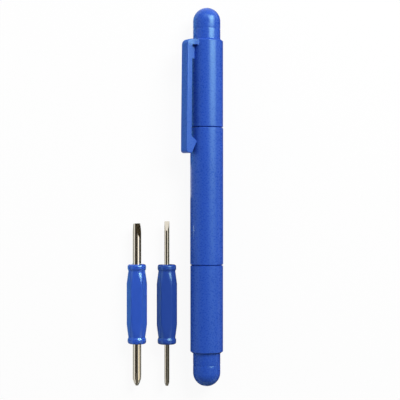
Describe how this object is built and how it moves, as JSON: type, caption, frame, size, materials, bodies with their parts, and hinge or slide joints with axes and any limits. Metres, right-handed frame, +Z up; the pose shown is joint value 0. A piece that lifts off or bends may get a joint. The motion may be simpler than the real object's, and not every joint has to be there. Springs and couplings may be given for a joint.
{
  "type": "pen-shaped pocket screwdriver with reversible drivers",
  "caption": "Pen-shaped pocket screwdriver: tubular handle with pull-off domed caps, a pocket clip, and loose double-ended hex-grip drivers with slotted and cross tips beside it.",
  "frame": {"origin": "middle of the whole layout, on the surface that it lies on", "axes": "+Y along the pen toward its clip end, +X from the drivers toward the pen, +Z up"},
  "size_m": [0.0356, 0.1392, 0.0134],
  "materials": {
    "body_plastic": "fine satin grain",
    "dome_plastic": "smooth satin",
    "grip_plastic": "glossy",
    "blade_steel": "bright nickel plate"
  },
  "bodies": {
    "barrel": {"barrel": "body_plastic"},
    "clip_cap": {"clip_cap_sleeve": "body_plastic", "clip_cap_dome": "dome_plastic"},
    "pocket_clip": {"pocket_clip": "body_plastic"},
    "plain_cap": {"plain_cap_sleeve": "body_plastic", "plain_cap_dome": "dome_plastic"},
    "thick_driver": {"thick_blade": "blade_steel", "thick_grip": "grip_plastic"},
    "thin_driver": {"thin_blade": "blade_steel", "thin_grip": "grip_plastic"}
  },
  "joints": [
    {"name": "clip_cap_slide", "type": "slide", "parent": "barrel", "child": "clip_cap", "axis": [0, 1, 0], "range_m": [0, 0.024]},
    {"name": "plain_cap_slide", "type": "slide", "parent": "barrel", "child": "plain_cap", "axis": [0, -1, 0], "range_m": [0, 0.024]},
    {"name": "clip_flex", "type": "hinge", "parent": "clip_cap", "child": "pocket_clip", "pos_m": [0.00661, 0.0576, 0.00949], "axis": [-0.5592, 0, -0.829], "range_deg": [0, 5], "stiffness_Nm_per_rad": 0.4},
    {"name": "thick_driver_slide", "type": "slide", "parent": "barrel", "child": "thick_driver", "axis": [0, 1, 0], "range_m": [0, 0.021]},
    {"name": "thin_driver_slide", "type": "slide", "parent": "barrel", "child": "thin_driver", "axis": [0, 1, 0], "range_m": [0, 0.021]}
  ]
}
